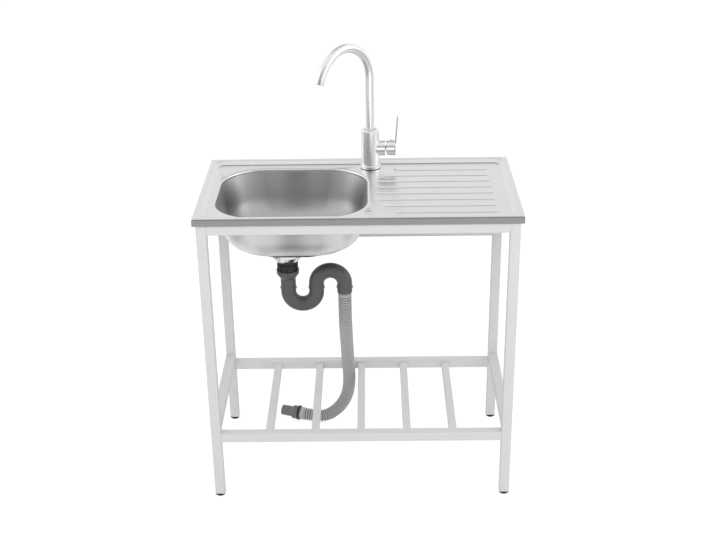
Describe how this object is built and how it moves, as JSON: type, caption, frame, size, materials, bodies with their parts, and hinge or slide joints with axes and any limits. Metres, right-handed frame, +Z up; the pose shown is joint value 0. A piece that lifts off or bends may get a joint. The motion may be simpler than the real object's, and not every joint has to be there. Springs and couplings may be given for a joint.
{
  "type": "kitchen sink unit",
  "caption": "Free-standing stainless steel sink unit: one bowl with a ribbed drainer on a square-tube stand with a slatted shelf, a gooseneck mixer tap, trap and drain hose.",
  "frame": {"origin": "on the floor, under the middle of the deck", "axes": "+X to the user's right, +Y away from the user, +Z up"},
  "size_m": [0.8, 0.43, 1.146],
  "materials": {
    "stand_paint": "pale grey powder coat, satin",
    "sink_steel": "fine brushed stainless steel",
    "tap_steel": "satin stainless steel",
    "strainer_chrome": "polished",
    "trap_plastic": "dark grey moulded plastic, half gloss",
    "nut_plastic": "black moulded plastic",
    "hose_plastic": "grey plastic, satin",
    "connector_plastic": "dark grey moulded plastic",
    "black_rubber": "matt",
    "foot_plastic": "black plastic",
    "zinc_steel": "zinc-plated steel",
    "cartridge_plastic": "pale plastic"
  },
  "bodies": {
    "sink_unit": {"leg_front_left": "stand_paint", "leg_plug_front_left": "foot_plastic", "leg_front_right": "stand_paint", "leg_plug_front_right": "foot_plastic", "leg_back_left": "stand_paint", "leg_plug_back_left": "foot_plastic", "leg_back_right": "stand_paint", "leg_plug_back_right": "foot_plastic", "top_rail_front": "stand_paint", "top_rail_left": "stand_paint", "top_rail_right": "stand_paint", "rear_brace": "stand_paint", "shelf_rail_front": "stand_paint", "shelf_rail_back": "stand_paint", "shelf_rail_left": "stand_paint", "shelf_rail_right": "stand_paint", "shelf_slat_1": "stand_paint", "shelf_slat_2": "stand_paint", "shelf_slat_3": "stand_paint", "shelf_slat_4": "stand_paint", "shelf_slat_5": "stand_paint", "sink_deck": "sink_steel", "sink_bowl": "sink_steel", "damping_pad": "black_rubber", "strainer_body": "strainer_chrome", "strainer_gasket": "black_rubber", "strainer_locknut": "nut_plastic", "slip_nut": "nut_plastic", "slip_washer": "black_rubber", "s_trap": "trap_plastic", "drain_hose": "hose_plastic", "hose_connector": "connector_plastic", "connector_ring": "nut_plastic", "tap_base_gasket": "black_rubber", "tap_base_ring": "tap_steel", "faucet_body": "tap_steel", "faucet_shank": "zinc_steel", "mounting_gasket": "black_rubber", "mounting_washer": "zinc_steel", "mounting_nut": "zinc_steel", "mixer_cartridge": "cartridge_plastic", "cartridge_nut": "tap_steel", "spout_bush": "cartridge_plastic"},
    "spout_arm": {"spout": "tap_steel", "aerator_housing": "tap_steel", "aerator_mesh": "nut_plastic"},
    "mixer_control": {"mixer_spindle": "zinc_steel", "handle_pin": "zinc_steel"},
    "handle": {"handle_cap": "tap_steel", "handle_lever": "tap_steel", "handle_plug": "tap_steel"},
    "strainer_basket": {"basket": "strainer_chrome", "basket_stopper": "black_rubber"},
    "foot_front_left": {"levelling_foot_front_left": "foot_plastic"},
    "foot_front_right": {"levelling_foot_front_right": "foot_plastic"},
    "foot_back_left": {"levelling_foot_back_left": "foot_plastic"},
    "foot_back_right": {"levelling_foot_back_right": "foot_plastic"}
  },
  "joints": [
    {"name": "spout_swivel", "type": "hinge", "parent": "sink_unit", "child": "spout_arm", "pos_m": [0.031, 0.1625, 0.893], "axis": [0, 0, 1], "continuous": true},
    {"name": "handle_temperature", "type": "hinge", "parent": "sink_unit", "child": "mixer_control", "pos_m": [0.078, 0.1625, 0.846], "axis": [1, 0, 0], "range_deg": [-45, 45]},
    {"name": "handle_flow", "type": "hinge", "parent": "mixer_control", "child": "handle", "pos_m": [0.078, 0.1625, 0.846], "axis": [0, 1, 0], "range_deg": [0, 20]},
    {"name": "basket_lift", "type": "slide", "parent": "sink_unit", "child": "strainer_basket", "axis": [0, 0, 1], "range_m": [0, 0.15]},
    {"name": "foot_height_front_left", "type": "slide", "parent": "sink_unit", "child": "foot_front_left", "axis": [0, 0, -1], "range_m": [0, 0.012]},
    {"name": "foot_height_front_right", "type": "slide", "parent": "sink_unit", "child": "foot_front_right", "axis": [0, 0, -1], "range_m": [0, 0.012]},
    {"name": "foot_height_back_left", "type": "slide", "parent": "sink_unit", "child": "foot_back_left", "axis": [0, 0, -1], "range_m": [0, 0.012]},
    {"name": "foot_height_back_right", "type": "slide", "parent": "sink_unit", "child": "foot_back_right", "axis": [0, 0, -1], "range_m": [0, 0.012]}
  ]
}
